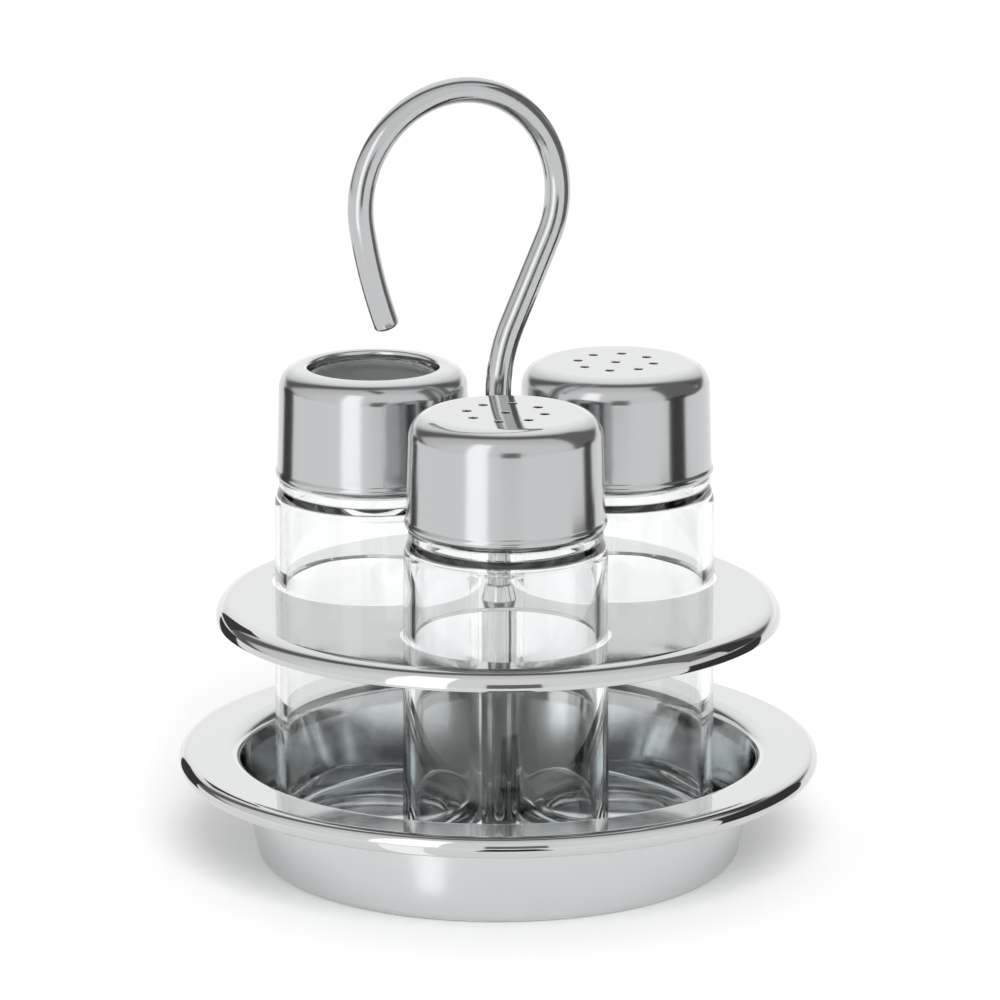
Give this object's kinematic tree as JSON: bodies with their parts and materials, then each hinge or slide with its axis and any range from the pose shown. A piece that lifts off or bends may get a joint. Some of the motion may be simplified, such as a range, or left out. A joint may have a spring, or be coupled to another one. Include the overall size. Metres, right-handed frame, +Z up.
{
  "type": "table cruet set",
  "caption": "Footless dish stand with a holed deck and a wire carrying hook, holding glass shaker jars with pierced steel caps and an open-topped toothpick jar.",
  "frame": {"origin": "centre of the tray's flat underside, on the table", "axes": "+Z up along the centre post; -Y towards the person at the table, where the one front jar stands; +X to that person's right"},
  "size_m": [0.1206, 0.1206, 0.1491],
  "materials": {
    "polished_steel": "mirror-polished stainless sheet",
    "polished_wire": "polished round wire",
    "plated_steel": "plated nut and washer",
    "satin_steel": "satin sides, polished top",
    "clear_glass": "clear pressed glass",
    "liner_plastic": "moulded plastic"
  },
  "bodies": {
    "stand": {"base_tray": "polished_steel", "base_washer": "plated_steel", "base_nut": "plated_steel", "post_tube": "polished_steel", "deck_plate": "polished_steel", "deck_collar": "polished_steel", "hook_handle": "polished_wire"},
    "salt_shaker": {"salt_jar": "clear_glass"},
    "salt_lid": {"salt_cap": "satin_steel", "salt_cap_liner": "liner_plastic"},
    "pepper_shaker": {"pepper_jar": "clear_glass"},
    "pepper_lid": {"pepper_cap": "satin_steel", "pepper_cap_liner": "liner_plastic"},
    "toothpick_holder": {"toothpick_jar": "clear_glass"},
    "toothpick_lid": {"toothpick_cap": "satin_steel", "toothpick_cap_liner": "liner_plastic"}
  },
  "joints": [
    {"name": "salt_shaker_lift", "type": "slide", "parent": "stand", "child": "salt_shaker", "axis": [0, 0, 1], "range_m": [0, 0.055]},
    {"name": "pepper_shaker_lift", "type": "slide", "parent": "stand", "child": "pepper_shaker", "axis": [0, 0, 1], "range_m": [0, 0.018]},
    {"name": "toothpick_holder_lift", "type": "slide", "parent": "stand", "child": "toothpick_holder", "axis": [0, 0, 1], "range_m": [0, 0.055]},
    {"name": "salt_lid_lift", "type": "slide", "parent": "salt_shaker", "child": "salt_lid", "axis": [0, 0, 1], "range_m": [0, 0.025]},
    {"name": "pepper_lid_turn", "type": "hinge", "parent": "pepper_shaker", "child": "pepper_lid", "pos_m": [0.02214, 0.01438, 0.08], "axis": [0, 0, 1], "range_deg": [0, 360]},
    {"name": "toothpick_lid_lift", "type": "slide", "parent": "toothpick_holder", "child": "toothpick_lid", "axis": [0, 0, 1], "range_m": [0, 0.025]}
  ]
}
